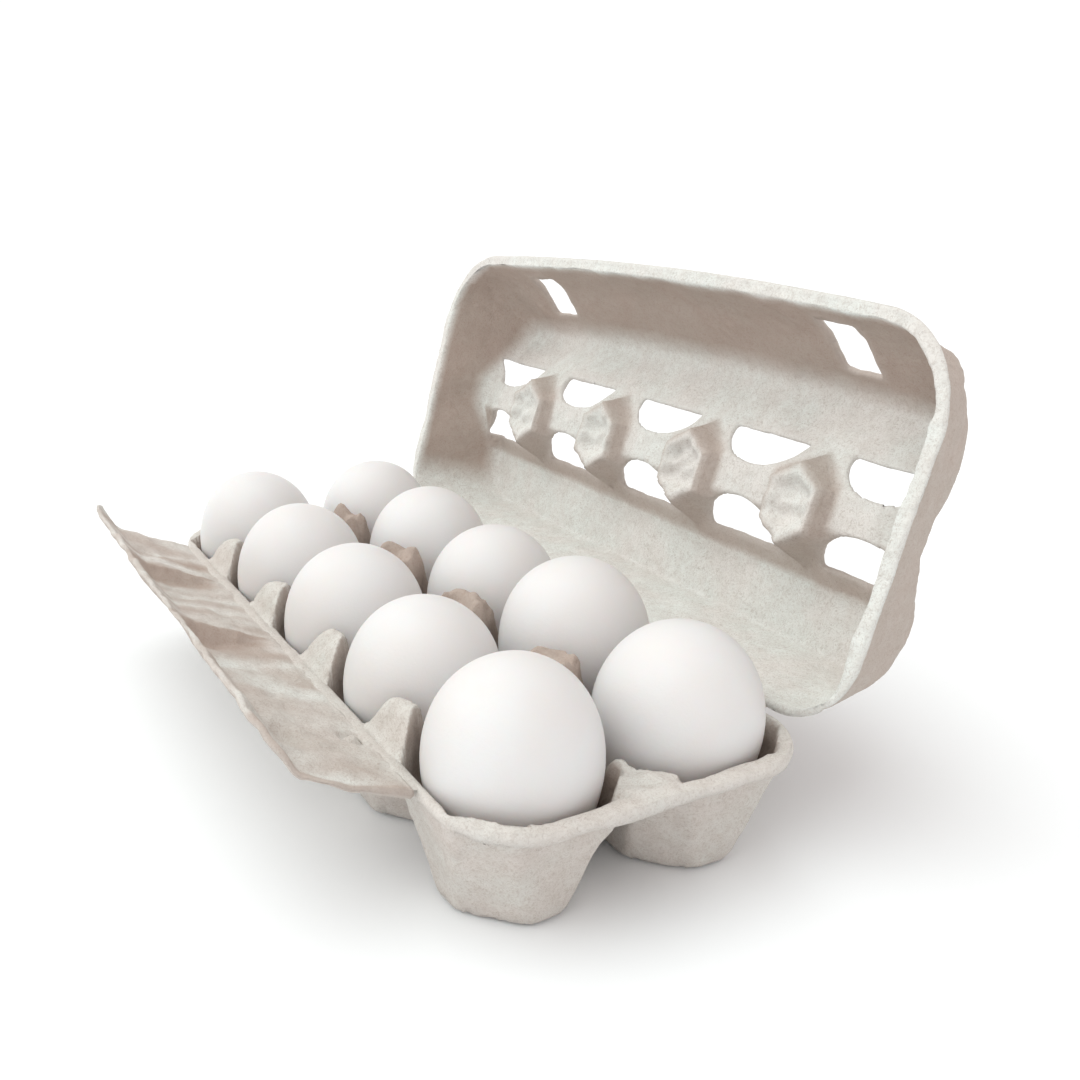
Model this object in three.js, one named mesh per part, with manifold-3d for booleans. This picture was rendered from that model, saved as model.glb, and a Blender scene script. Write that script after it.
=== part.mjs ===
// A moulded-pulp carton of ten hen's eggs, standing open: a tray of two rows of five cups,
// a lid laid back on its hinge, and a locking flap folded out along the front.
// Millimetres, +Z up. X runs along the carton, the flap is on -Y and the lid's hinge on +Y.
// Everything is set out from the middle of the tray's underside, then the carton is centred.
import * as THREE from "three";
import { mergeVertices } from "three/addons/utils/BufferGeometryUtils.js";
import Module from "manifold-3d";

// ---------------------------------------------------------------- driving dimensions
const CUPS_PER_ROW = 5;
const PITCH = 48; // from cup to cup along the carton
const ROW = 24.7; // from the middle line to a row of cups
const PULP = 1.8; // thickness of the moulded wall

const TRAY_LENGTH = 250;
const TRAY_DEPTH_HALF = 49.4; // middle line to the flange's edge
const TRAY_CORNER = 21.5;
const RIM_TOP = 34;
const RIM_BEAD = 1.4; // how much thicker the rolled edge is than the wall
const FLANGE = 4.5;
const CUP_FLOOR = 1.8; // top of the floor in a cup
const CUP_FLOOR_ALONG = 16.8; // half width of a cup's floor, along X
const CUP_FLOOR_ACROSS = 16.4; // and along Y
const CUP_FLOOR_DIAGONAL = 15; // and across the corners, which are cut off
const CUP_DRAFT = 0.21; // outward lean of the cup's four main walls
const CORNER_DRAFT = 0.36; // and of its four corner walls
const UPPER_DIAGONAL = 22.3; // higher up the corner walls stand steeper, beside the posts
const UPPER_DRAFT = 0.09;
const SADDLE = 24; // height of the ridge between two cups
const POST_TOP = 47; // posts between four cups
const POST_FLAT = 7;
const POST_SLOPE = 2;
const FRONT_POST_TOP = 42.8; // blocks that run up from the flap between the front cups
const FRONT_POST_INNER = 38.3;
const FRONT_POST_OUTER = 42.5;
const FRONT_RAMP = 1.3;
const FRONT_POST_HALF = 8;
const BACK_POST_TOP = 38; // half posts along the hinge side, which clear the shut lid
const BACK_POST_AT = 41;
const END_LAND_TOP = 33.4; // flat land between the last two cups, inside each end of the rim
const END_LAND_AT = 114;

const LID_LENGTH = 247;
const LID_WIDTH = 102.5; // hinge to free edge, at the corners
const LID_BOW = 5; // the free edge bows out by this in the middle
const LID_FREE_CORNER = 26;
const LID_HINGE_CORNER = 21;
const LID_DEPTH = 33.5; // inside depth under the two humps
const LID_FLANGE = 3.8;
const FRONT_FLANGE = 3.2;
const LID_HINGE_FLANGE = 1.6; // narrow along the hinge, where an egg stands close
const LID_OPEN = 104.8; // degrees back from shut
const HINGE_Y = 50.6;
const HINGE_Z = 34.8;
const HINGE_GAP = 0.5; // left for the pulp hinge between tray and lid
const END_LEAN = 0.27; // lean of the lid's end walls
const FRONT_LEAN = 0.3; // the front leans more above its shoulder
const SHOULDER = 14;
const SHOULDER_LEAN = 0.75;
const BACK_LEAN = 0.27;
const END_ROUND = 11; // the lid's ends run into its top with a wide rounding
const HINGE_CORNER_BLEND = 60; // how far the walls run into each other at its corners
const FREE_CORNER_BLEND = 40;
const RIM_LEAN = 0.12; // the flange keeps its width round the corners, where the walls stand steeper
const VALLEY_AT = 52.4; // middle of the lid's long valley, from the hinge
const VALLEY_FLOOR = 20;
const VALLEY_END = 22; // shallower beyond the last post
const VALLEY_HALF = 5.5;
const VALLEY_SLOPE = 0.64; // of its side towards the free edge
const VALLEY_BACK_SLOPE = 0.7; // and of its side towards the hinge
const LID_POST = 15; // flat tops of the four hexagonal lid posts
const LID_POST_REACH = 9.4;
const LID_POST_SIDE = 3.6; // slope of their sides
const LID_POST_AT = 50.4;
const WINDOW_HALF = 16;
const WINDOW_FLAT = [17.5, 15.6]; // valley's middle to the windows' straight side, hinge row first
const WINDOW_DEEP = [12.6, 10.8];
const LOCK_AT = 73; // lock holes, from the middle
const LOCK_HALF = 7.3;
const LOCK_LOW = 8.5;
const LOCK_HIGH = 26;
const LOCK_SLANT = 1.5;

const FLAP_AT = -2.5; // its middle, along X
const FLAP_HALF = 99; // half length at the fold
const FLAP_FLARE = 2.5;
const FLAP_WIDTH = 29; // fold to bend
const FLAP_LIP = 8.5; // bend to free edge
const FLAP_LIP_RISE = 0.7;
const FLAP_CORNER = 19;
const FLAP_TILT = 23; // degrees up from level
const FOLD_Y = -50.1;
const FOLD_Z = 33.6;
const FOLD_GAP = 0.5;
const FLAP_CURL = 3; // rise of the lip's far corner
const PLEATS = [-52, 4]; // creases across the flap, where the face falls away
const PLEAT_DEPTH = 4;
const KNOB_DEPTH = 3.2;

const EGG_WIDTH = 44.2;
const EGG_HEIGHT = 57;
const EGG_BLUNT = 0.1; // how far the widest part sits above the middle
const EGG_FOOT = 2.9; // underside of an egg that sits right down
const EGG_GROWTH = [
  [0.2, 0.5, 0.1, -0.3, 0.4],
  [-0.4, 0.2, -0.2, 0.6, 0.3],
]; // extra height of each egg, front row first, from -X to +X
const EGG_SEAT = [
  [0.8, 0.3, 0.5, 0.4, 1.8],
  [0.2, 0.6, 0.1, 3.0, 1.2],
]; // how far each egg stands clear of the floor of its cup

// ---------------------------------------------------------------- small mathematics
const clamp = (v, low, high) => Math.min(high, Math.max(low, v));

const smoothMin = (a, b, r) => {
  const h = clamp(0.5 + (b - a) / (2 * r), 0, 1);
  return b + (a - b) * h - r * h * (1 - h);
};

const smoothMax = (a, b, r) => -smoothMin(-a, -b, r);

const bump = (v, half) => {
  const t = clamp(1 - (v / half) ** 2, 0, 1);
  return t * t;
};

// Distance in from the edge of a rounded rectangle, positive inside it.
function insetFrom(x, y, halfX, halfY, corner) {
  const px = Math.abs(x) - (halfX - corner);
  const py = Math.abs(y) - (halfY - corner);
  if (px > 0 && py > 0) return corner - Math.hypot(px, py);
  return Math.min(halfX - Math.abs(x), halfY - Math.abs(y));
}

// Bends the square corner of a grid into the quarter circle of a rounded one.
function roundCorner(x, y, halfX, halfY, corner) {
  const cx = halfX - corner;
  const cy = halfY - corner;
  const px = Math.abs(x) - cx;
  const py = Math.abs(y) - cy;
  if (px <= 0 || py <= 0) return [x, y];
  const pull = Math.max(px, py) / Math.hypot(px, py);
  return [Math.sign(x) * (cx + px * pull), Math.sign(y) * (cy + py * pull)];
}

// The surface one wall thickness to one side of z = height(x, y), found by rolling a ball along it.
function offsetBy(height, thickness, side) {
  const steps = [[0, 0]];
  for (let ring = 1; ring <= 3; ring += 1) {
    for (let k = 0; k < 12; k += 1) {
      const turn = (k * Math.PI) / 6;
      const r = (thickness * ring) / 3;
      steps.push([r * Math.cos(turn), r * Math.sin(turn)]);
    }
  }
  return (x, y) => {
    let best = -Infinity;
    for (const [sx, sy] of steps) {
      const rise = Math.sqrt(Math.max(0, thickness ** 2 - sx ** 2 - sy ** 2));
      best = Math.max(best, side * height(x + sx, y + sy) + rise);
    }
    return side * best;
  };
}

// ---------------------------------------------------------------- meshes
function meshFrom(points, triangles) {
  const geometry = new THREE.BufferGeometry();
  geometry.setAttribute("position", new THREE.Float32BufferAttribute(points.flat(), 3));
  geometry.setIndex(triangles.flat());
  return geometry;
}

// A closed shell over a grid: the lower and upper skins, joined round the edge.
function shell(xs, ys, bend, lower, upper, place) {
  const points = [];
  const triangles = [];
  const nx = xs.length;
  const ny = ys.length;
  const at = (skin, i, j) => skin * nx * ny + i * ny + j;
  for (const skin of [lower, upper]) {
    for (const gx of xs) {
      for (const gy of ys) {
        const [x, y] = bend(gx, gy);
        points.push(place(x, y, skin(x, y)));
      }
    }
  }
  const quad = (a, b, c, d) => triangles.push([a, b, c], [a, c, d]);
  for (let i = 0; i + 1 < nx; i += 1) {
    for (let j = 0; j + 1 < ny; j += 1) {
      quad(at(1, i, j), at(1, i + 1, j), at(1, i + 1, j + 1), at(1, i, j + 1));
      quad(at(0, i, j), at(0, i, j + 1), at(0, i + 1, j + 1), at(0, i + 1, j));
    }
  }
  for (let i = 0; i + 1 < nx; i += 1) {
    quad(at(0, i, 0), at(0, i + 1, 0), at(1, i + 1, 0), at(1, i, 0));
    quad(at(0, i + 1, ny - 1), at(0, i, ny - 1), at(1, i, ny - 1), at(1, i + 1, ny - 1));
  }
  for (let j = 0; j + 1 < ny; j += 1) {
    quad(at(0, 0, j + 1), at(0, 0, j), at(1, 0, j), at(1, 0, j + 1));
    quad(at(0, nx - 1, j), at(0, nx - 1, j + 1), at(1, nx - 1, j + 1), at(1, nx - 1, j));
  }
  return meshFrom(points, triangles);
}

// A straight prism: an outline of [a, b] pairs, run from one depth to another.
function prism(outline, from, to, place) {
  const n = outline.length;
  const points = [];
  for (const depth of [from, to]) {
    for (const [a, b] of outline) points.push(place(a, b, depth));
  }
  const triangles = [];
  for (let k = 0; k < n; k += 1) {
    const next = (k + 1) % n;
    triangles.push([k, next, n + next], [k, n + next, n + k]);
  }
  for (let k = 1; k + 1 < n; k += 1) {
    triangles.push([0, k + 1, k], [n, n + k, n + k + 1]);
  }
  return meshFrom(points, triangles);
}

const wasm = await Module();
wasm.setup();

function solid(geometry) {
  const merged = mergeVertices(geometry, 1e-4);
  const made = new wasm.Manifold(
    new wasm.Mesh({
      numProp: 3,
      vertProperties: merged.attributes.position.array,
      triVerts: new Uint32Array(merged.index.array),
    }),
  );
  return made;
}

function cut(geometry, tools) {
  let body = solid(geometry);
  for (const tool of tools) body = body.subtract(solid(tool));
  const { vertProperties, triVerts } = body.getMesh();
  const result = new THREE.BufferGeometry();
  result.setAttribute("position", new THREE.BufferAttribute(new Float32Array(vertProperties), 3));
  result.setIndex(new THREE.BufferAttribute(new Uint32Array(triVerts), 1));
  return result;
}

// Grid lines for a run of equal cells, with the same offsets in every cell.
function ruled(centres, offsets, ends) {
  const lines = [...ends];
  for (const centre of centres) {
    for (const offset of offsets) lines.push(centre + offset);
  }
  lines.sort((a, b) => a - b);
  return lines.filter((v, k) => k === 0 || v - lines[k - 1] > 0.05);
}

const cupCentres = [];
for (let k = 0; k < CUPS_PER_ROW; k += 1) {
  cupCentres.push((k - (CUPS_PER_ROW - 1) / 2) * PITCH);
}
const partitions = cupCentres.slice(1).map((x) => x - PITCH / 2);
const nearest = (list, x) => list.reduce((a, b) => (Math.abs(b - x) < Math.abs(a - x) ? b : a));

// ---------------------------------------------------------------- tray
function octagonReach(dx, dy) {
  return Math.max(Math.abs(dx), Math.abs(dy), (Math.abs(dx) + Math.abs(dy)) * 0.76);
}

function cupWalls(x, y) {
  const dx = Math.abs(x - nearest(cupCentres, x));
  const dy = Math.abs(Math.abs(y) - ROW);
  const along = (dx - CUP_FLOOR_ALONG) / CUP_DRAFT;
  const across = (dy - CUP_FLOOR_ACROSS) / CUP_DRAFT;
  const diagonal = (dx + dy) * Math.SQRT1_2;
  const low = (diagonal - CUP_FLOOR_DIAGONAL) / CORNER_DRAFT;
  const corner = smoothMax(low, (diagonal - UPPER_DIAGONAL) / UPPER_DRAFT, 3);
  const walls = smoothMax(smoothMax(along, across, 2.5), corner, 3);
  return smoothMax(CUP_FLOOR, CUP_FLOOR + walls, 1.4);
}

function postHeight(x, y) {
  const px = Math.abs(x - nearest(partitions, x));
  const land = octagonReach(Math.abs(x) - END_LAND_AT, y);
  if (Math.abs(x) > 100) return END_LAND_TOP - 1.5 * Math.max(0, land - 9);
  const centre = POST_TOP - POST_SLOPE * Math.max(0, octagonReach(px, y) - POST_FLAT);
  if (y >= 0) {
    const reach = octagonReach(px, y - BACK_POST_AT);
    return Math.max(centre, BACK_POST_TOP - 1.7 * Math.max(0, reach - 3.2));
  }
  const outer = FRONT_RAMP * (-y - FRONT_POST_OUTER);
  const ramp = FRONT_POST_TOP - smoothMax(0, Math.max(outer, 2 * (FRONT_POST_INNER + y)), 2);
  return Math.max(centre, ramp - smoothMax(0, px - FRONT_POST_HALF, 3));
}

function trayTop(x, y) {
  const inset = insetFrom(x, y, TRAY_LENGTH / 2, TRAY_DEPTH_HALF, TRAY_CORNER);
  const toRim = RIM_TOP - 1.1 * Math.max(0, inset - FLANGE);
  const ridges = smoothMax(smoothMax(SADDLE, toRim, 2), postHeight(x, y), 2.5);
  return smoothMin(cupWalls(x, y), ridges, 2);
}

const trayOffset = offsetBy(trayTop, PULP, -1);

function trayUnder(x, y) {
  const inset = insetFrom(x, y, TRAY_LENGTH / 2, TRAY_DEPTH_HALF, TRAY_CORNER);
  return Math.max(0, trayOffset(x, y)) - RIM_BEAD * clamp(1 - (inset - 1.5) / 1.5, 0, 1);
}

const trayLines = ruled(
  cupCentres,
  [-24, -20.6, -15.5, -7.4, 0, 7.4, 15.5, 20.6, 24],
  [-125, -122.5, 122.5, 125],
);
const trayRows = ruled(
  [-ROW, ROW],
  [-20.3, -15.5, -7.4, 0, 7.4, 15.5, 20.3],
  [-49.4, -47.4, 0, 47.4, 49.4],
);
const trayBend = (x, y) => roundCorner(x, y, TRAY_LENGTH / 2, TRAY_DEPTH_HALF, TRAY_CORNER);
const tray = shell(trayLines, trayRows, trayBend, trayUnder, trayTop, (x, y, z) => [x, y, z]);

// ---------------------------------------------------------------- lid
// The lid is shaped as if shut: u along the carton, v from the hinge, w up from its rim.
const freeEdge = (u) => LID_WIDTH + LID_BOW * (1 - (u / (LID_LENGTH / 2)) ** 2);

function sideRise(inset, front) {
  if (!front) return (inset - LID_HINGE_FLANGE) / BACK_LEAN;
  const into = inset - FRONT_FLANGE;
  const upper = SHOULDER + (into - SHOULDER * FRONT_LEAN) / SHOULDER_LEAN;
  return smoothMin(into / FRONT_LEAN, upper, 4);
}

// The four walls, each rising evenly from its own line, with their corners rounded together.
function lidWall(u, v) {
  const front = v > VALLEY_AT;
  const side = sideRise(front ? freeEdge(u) - v : v, front);
  const end = (LID_LENGTH / 2 - Math.abs(u) - LID_FLANGE) / END_LEAN;
  const walls = smoothMin(side, end, front ? FREE_CORNER_BLEND : HINGE_CORNER_BLEND);
  const half = LID_WIDTH / 2;
  const t = ((v - HINGE_GAP) * LID_WIDTH) / (freeEdge(u) - HINGE_GAP) - half;
  const corner = front ? LID_FREE_CORNER : LID_HINGE_CORNER;
  const flange = front ? FRONT_FLANGE : LID_HINGE_FLANGE;
  return smoothMin(walls, (insetFrom(u, t, LID_LENGTH / 2, half, corner) - flange) / RIM_LEAN, 3);
}

function lidTop(u, v) {
  const across = Math.abs(v - VALLEY_AT);
  const end = clamp((Math.abs(u) - 98) / 10, 0, 1);
  const floor = VALLEY_FLOOR + (VALLEY_END - VALLEY_FLOOR) * end;
  const slope = v > VALLEY_AT ? VALLEY_SLOPE : VALLEY_BACK_SLOPE;
  const valley = floor + Math.max(0, across - VALLEY_HALF) * slope;
  const pu = Math.abs(u - nearest(partitions, u));
  const reach = Math.max(pu, 0.5 * pu + 0.76 * Math.abs(v - LID_POST_AT));
  const post = LID_POST + LID_POST_SIDE * Math.max(0, reach - LID_POST_REACH);
  return smoothMin(LID_DEPTH, smoothMin(valley, post, 1.6), 3);
}

function lidInside(u, v) {
  const width = 3 + (END_ROUND - 3) * clamp((Math.abs(u) - 96) / 14, 0, 1);
  return smoothMax(0, smoothMin(lidWall(u, v), lidTop(u, v), width), 1.2);
}

const lidOffset = offsetBy(lidInside, PULP, 1);

const openAngle = THREE.MathUtils.degToRad(LID_OPEN);

function placeLid(u, v, w) {
  const y = HINGE_Y - v * Math.cos(openAngle) + w * Math.sin(openAngle);
  const z = HINGE_Z + v * Math.sin(openAngle) + w * Math.cos(openAngle);
  return [-u, y, z];
}

function lidBend(u, t) {
  const front = t > VALLEY_AT;
  const corner = front ? LID_FREE_CORNER : LID_HINGE_CORNER;
  const half = LID_WIDTH / 2;
  const [x, y] = roundCorner(u, t - half, LID_LENGTH / 2, half, corner);
  const bowed = ((y + half) * (freeEdge(x) - HINGE_GAP)) / LID_WIDTH + HINGE_GAP;
  return [x, bowed];
}

const lidLines = ruled(cupCentres.slice(1, -1), [-24, -14.2, 0, 14.2, 24], [
  ...[-123.5, -121.4, -119.3, -113, -108, -102, -96, -82],
  ...[82, 96, 102, 108, 113, 119.3, 121.4, 123.5],
]);
const lidRows = [
  ...[0, 1.6, 4.5, 8, 11.5, 25, 32, 37.2, 42, 47, 52.4],
  ...[57.5, 62.5, 68, 74, 79.5, 85, 91, 96, 99.6, 102.5],
];
const lidBlank = shell(lidLines, lidRows, lidBend, lidInside, lidOffset, placeLid);

// Rounded windows in the valley's two sides, and a slanted lock hole at each end of the front.
function windowOutline(centre, side) {
  const outline = [];
  const row = side > 0 ? 1 : 0;
  for (let k = 0; k <= 7; k += 1) {
    const turn = (Math.PI * k) / 7;
    const across = WINDOW_FLAT[row] - WINDOW_DEEP[row] * Math.sin(turn);
    outline.push([centre + WINDOW_HALF * Math.cos(turn), VALLEY_AT + side * across]);
  }
  return side > 0 ? outline.reverse() : outline;
}

function lockOutline(centre) {
  const slant = LOCK_SLANT * Math.sign(centre);
  return [
    [centre - LOCK_HALF, LOCK_LOW],
    [centre + LOCK_HALF, LOCK_LOW],
    [centre + LOCK_HALF + slant, LOCK_HIGH],
    [centre - LOCK_HALF + slant, LOCK_HIGH],
  ];
}

const windows = [];
for (const centre of cupCentres) {
  for (const side of [-1, 1]) {
    windows.push(prism(windowOutline(centre, side), 10, 60, placeLid));
  }
}
for (const centre of [-LOCK_AT, LOCK_AT]) {
  windows.push(prism(lockOutline(centre), -130, -84, (u, w, v) => placeLid(u, -v, w)));
}
const lid = cut(lidBlank, windows);

// ---------------------------------------------------------------- flap
// The flap is shaped lying flat: a along it towards -X, e out from the fold, n up from its face.
// A pleat rises to its crease, drops beyond it in a few millimetres and climbs slowly back.
function pleat(past) {
  if (past < 0) return 0.5 * clamp(1 + past / 26, 0, 1);
  if (past < 5.5) return 0.5 - past / 5.5;
  return -0.5 * clamp((34 - past) / 28.5, 0, 1);
}

function flapTop(a, e) {
  const lip = FLAP_LIP_RISE * Math.max(0, e - FLAP_WIDTH);
  const far = clamp((a - 88) / 16, 0, 1) ** 2;
  const curl = FLAP_CURL * far * clamp((e - 22) / 16, 0, 1) ** 2;
  const deep = clamp((e - 4) / 20, 0, 1) * clamp((37 - e) / 9, 0, 1);
  let pleats = 0;
  for (const crease of PLEATS) pleats += pleat(-a - crease - 0.25 * (e - 20));
  const knob = KNOB_DEPTH * bump(Math.abs(a) - LOCK_AT, 9) * bump(e - 25, 6);
  return smoothMax(0, lip, 1.2) + curl + PLEAT_DEPTH * pleats * deep - knob;
}

const flapUnder = offsetBy(flapTop, PULP, -1);
const tiltAngle = THREE.MathUtils.degToRad(FLAP_TILT);

function placeFlap(a, e, n) {
  const y = FOLD_Y - e * Math.cos(tiltAngle) + n * Math.sin(tiltAngle);
  const z = FOLD_Z + e * Math.sin(tiltAngle) + n * Math.cos(tiltAngle);
  return [-a, y, z];
}

function flapBend(a, e) {
  const width = FLAP_WIDTH + FLAP_LIP;
  const [ra, re] = roundCorner(a, e, FLAP_HALF, width, a > 0 ? FLAP_CORNER / 3 : FLAP_CORNER);
  return [ra * (1 + (FLAP_FLARE / FLAP_HALF) * (re / width)) - FLAP_AT, re];
}

const flapLines = [
  ...[-99, -96, -90, -83, -75, -66, -55, -44, -28, -16, -9, -4],
  ...[8, 22, 36, 44, 50, 62, 73, 84, 92, 99],
];
const flapRows = [FOLD_GAP, 5, 10, 15, 20, 24, 27, 29, 31.5, 34.5, 37.5];
const flap = shell(flapLines, flapRows, flapBend, flapUnder, flapTop, placeFlap);

// ---------------------------------------------------------------- eggs
// An egg is a turned profile, blunt end up.
function eggGeometry(width, height) {
  const profile = [];
  const rings = 9;
  for (let k = 0; k <= rings; k += 1) {
    const turn = (Math.PI * k) / rings;
    const swell = 1 - EGG_BLUNT * Math.cos(turn);
    const across = k % rings === 0 ? 0 : (width / 2) * Math.sin(turn) * swell;
    profile.push(new THREE.Vector2(across, (height / 2) * (1 - Math.cos(turn))));
  }
  const turned = new THREE.LatheGeometry(profile, 12);
  turned.deleteAttribute("normal");
  turned.deleteAttribute("uv");
  return mergeVertices(turned, 1e-3);
}

// ---------------------------------------------------------------- the carton
const pulp = { color: 0xb9aea6, roughness: 0.95, metalness: 0 };
const shellWhite = { color: 0xf1eeea, roughness: 0.55, metalness: 0 };

const carton = new THREE.Group();

function add(name, geometry, look) {
  geometry.computeVertexNormals();
  const mesh = new THREE.Mesh(geometry, new THREE.MeshStandardMaterial(look));
  mesh.name = name;
  carton.add(mesh);
  return mesh;
}

add("tray", tray, pulp);
add("lid", lid, pulp);
add("flap", flap, pulp);

for (const [row, side] of [[0, -1], [1, 1]]) {
  cupCentres.forEach((x, k) => {
    const height = EGG_HEIGHT + EGG_GROWTH[row][k];
    const width = EGG_WIDTH + 0.4 * EGG_GROWTH[row][k];
    const name = `egg_${row === 0 ? "front" : "back"}_${k + 1}`;
    const egg = add(name, eggGeometry(width, height), shellWhite);
    egg.rotation.x = Math.PI / 2;
    egg.position.set(x, side * ROW, EGG_FOOT + EGG_SEAT[row][k]);
  });
}

// The frame's origin is on the table, under the middle of the whole open carton.
const extent = new THREE.Box3().setFromObject(carton, true);
carton.position.y = -(extent.min.y + extent.max.y) / 2;
const group = new THREE.Group();
group.add(carton);

export default group;
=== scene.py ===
"""An open pulp egg carton with its eggs: the looks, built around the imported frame."""
import math

import bpy
import numpy as np
from mathutils import Matrix, Vector


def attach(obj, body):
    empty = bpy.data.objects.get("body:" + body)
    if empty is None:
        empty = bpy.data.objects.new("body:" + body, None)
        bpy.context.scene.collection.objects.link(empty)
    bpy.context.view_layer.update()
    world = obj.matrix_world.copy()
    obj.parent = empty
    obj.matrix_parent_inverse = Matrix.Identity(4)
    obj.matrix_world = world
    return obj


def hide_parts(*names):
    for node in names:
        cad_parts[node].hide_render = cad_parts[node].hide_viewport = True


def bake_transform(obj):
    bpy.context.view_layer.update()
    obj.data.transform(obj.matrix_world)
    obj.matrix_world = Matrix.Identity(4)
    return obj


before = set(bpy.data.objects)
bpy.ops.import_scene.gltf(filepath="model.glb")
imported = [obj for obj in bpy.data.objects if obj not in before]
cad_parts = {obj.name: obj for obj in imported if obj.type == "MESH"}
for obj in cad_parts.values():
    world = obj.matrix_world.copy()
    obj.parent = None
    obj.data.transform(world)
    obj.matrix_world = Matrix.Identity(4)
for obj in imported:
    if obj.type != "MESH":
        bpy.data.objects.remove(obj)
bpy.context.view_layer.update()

# ------------------------------------------------------------------ measures, in millimetres
MM = 0.001
CUPS_PER_ROW = 5
PITCH = 48.0
ROW = 24.7
PULP = 1.8
SET_BACK = -11.4191          # the tray's middle line, along Y

TRAY_HALF = 125.0
TRAY_DEPTH_HALF = 49.4
TRAY_CORNER = 21.5
RIM_TOP = 34.0
RIM_BEAD = 1.4
FLANGE = 4.5
RIM_SLOPE = 1.1
FOOT_BOTTOM = 0.8
CUP_FLOOR = 1.8
CUP_FLOOR_ALONG = 16.8
CUP_FLOOR_ACROSS = 16.4
CUP_FLOOR_DIAGONAL = 15.0
CUP_DRAFT = 0.21
CORNER_DRAFT = 0.36
UPPER_DIAGONAL = 22.3
UPPER_DRAFT = 0.09
SADDLE = 24.0
POST_TOP = 47.0
POST_FLAT = 7.0
POST_SLOPE = 2.0
POST_LUMPS = 1.0
POST_HOLLOW = 4.2
POST_HOLLOW_HALF = 6.0
SMALL_LUMPS = 0.4
FRONT_POST_TOP = 42.8
FRONT_POST_INNER = 38.3
FRONT_POST_OUTER = 42.5
FRONT_RAMP = 1.3
FRONT_INNER_SLOPE = 2.0
FRONT_POST_HALF = 8.0
BACK_POST_TOP = 38.0
BACK_POST_AT = 41.0
BACK_POST_FLAT = 3.2
BACK_POST_SLOPE = 1.7
END_LAND_TOP = 33.4
END_LAND_AT = 114.0
END_LAND_HALF = 9.0
END_LAND_SLOPE = 1.5

LID_HALF = 123.5
LID_WIDTH = 102.5
LID_BOW = 5.0
LID_FREE_CORNER = 26.0
LID_HINGE_CORNER = 21.0
LID_DEPTH = 33.5
LID_FLANGE = 3.8
LID_HINGE_FLANGE = 1.6
LID_OPEN = math.radians(104.8)
HINGE_Y = 50.6 + SET_BACK
HINGE_Z = 34.8
HINGE_GAP = 0.5
END_LEAN = 0.27
FRONT_FLANGE = 3.2
FRONT_LEAN = 0.3
SHOULDER = 14.0
SHOULDER_LEAN = 0.75
BACK_LEAN = 0.27
END_ROUND = 11.0
LONG_ROUND = 3.0
END_ROUND_FROM = 96.0
END_ROUND_OVER = 14.0
CORNER_BLEND = (60.0, 40.0)
RIM_LEAN = 0.12
VALLEY_AT = 52.4
VALLEY_FLOOR = 20.0
VALLEY_END = 22.0
VALLEY_HALF = 5.5
VALLEY_SLOPE = 0.64
VALLEY_BACK_SLOPE = 0.7
LID_POST = 15.0
LID_POST_REACH = 9.4
LID_POST_SIDE = 3.6
LID_POST_AT = 50.4
LID_POST_DISH = 2.2
LID_POST_DISH_REACH = 7.2
WINDOW_HALF = 16.0
WINDOW_FLAT = (17.5, 15.6)
WINDOW_DEEP = (12.6, 10.8)
LOCK_AT = 73.0
LOCK_HALF = 7.3
LOCK_LOW = 8.5
LOCK_HIGH = 26.0
LOCK_SLANT = 1.5
LOCK_BEYOND = 84.0
LOCK_BELOW = 31.0

FLAP_AT = -2.5
FLAP_HALF = 99.0
FLAP_FLARE = 2.5
FLAP_WIDTH = 29.0
FLAP_LIP = 8.5
FLAP_LIP_RISE = 0.7
FLAP_CORNER = 19.0
FLAP_CURL = 3.0
FLAP_TILT = math.radians(23)
FOLD_Y = -50.1 + SET_BACK
FOLD_Z = 33.6
FOLD_GAP = 0.5
PLEATS = (-52.0, 4.0)
PLEAT_DEPTH = 4.0
PLEAT_SLANT = 0.25
PLEAT_MIDDLE = 20.0
KNOB_DEPTH = 3.2
KNOB_OUT = 25.0
KNOB_HALF = (9.0, 6.0)
RING_AT = (69.0, 5.0)
RING_RADIUS = 2.6
RING_HALF = 1.6
RING_DEPTH = 1.5
CRINKLE = 0.2

LID_STRIP_HALF = 101.0
LID_STRIP = 1.3
FLAP_STRIP_HALF = 98.0
FLAP_STRIP = 1.5

EGG_WIDTH = 44.2
EGG_HEIGHT = 57.0
EGG_BLUNT = 0.1
EGG_FOOT = 2.9
EGG_GROWTH = ((0.2, 0.5, 0.1, -0.3, 0.4), (-0.4, 0.2, -0.2, 0.6, 0.3))
EGG_SEAT = ((0.8, 0.3, 0.5, 0.4, 1.8), (0.2, 0.6, 0.1, 3.0, 1.2))

FLOOR_HALF = 20.0            # metres, like the camera's place
CAMERA_AT = (0.2874, -0.1423, 0.1638)
CAMERA_ANGLES = (62.43, 22.39, 0.45)
CAMERA_LENS = 35.64
CAMERA_SHIFT = (0.0853, 0.0738)
LIGHT_HEADING = (0.22, 0.47, -0.86)
LIGHT_POWER = 1.8
LIGHT_SPREAD = math.radians(75)

CUP_CENTRES = (np.arange(CUPS_PER_ROW) - (CUPS_PER_ROW - 1) / 2) * PITCH
PARTITIONS = CUP_CENTRES[1:] - PITCH / 2


# ------------------------------------------------------------------ small mathematics
def smooth_min(a, b, r):
    """The lesser of a and b, with the corner between them rounded over a width r."""
    h = np.clip(0.5 + (b - a) / (2 * r), 0, 1)
    return b + (a - b) * h - r * h * (1 - h)


def smooth_max(a, b, r):
    """The greater of a and b, with the corner between them rounded over a width r."""
    return -smooth_min(-a, -b, r)


def bump(v, half):
    """(1 - (v / half)^2)^2 inside half, and 0 outside it."""
    return np.clip(1 - (v / half) ** 2, 0, 1) ** 2


def to_nearest(centres, x):
    """Distance from x to the nearest of the centres."""
    return np.abs(x[..., None] - centres).min(-1)


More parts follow.
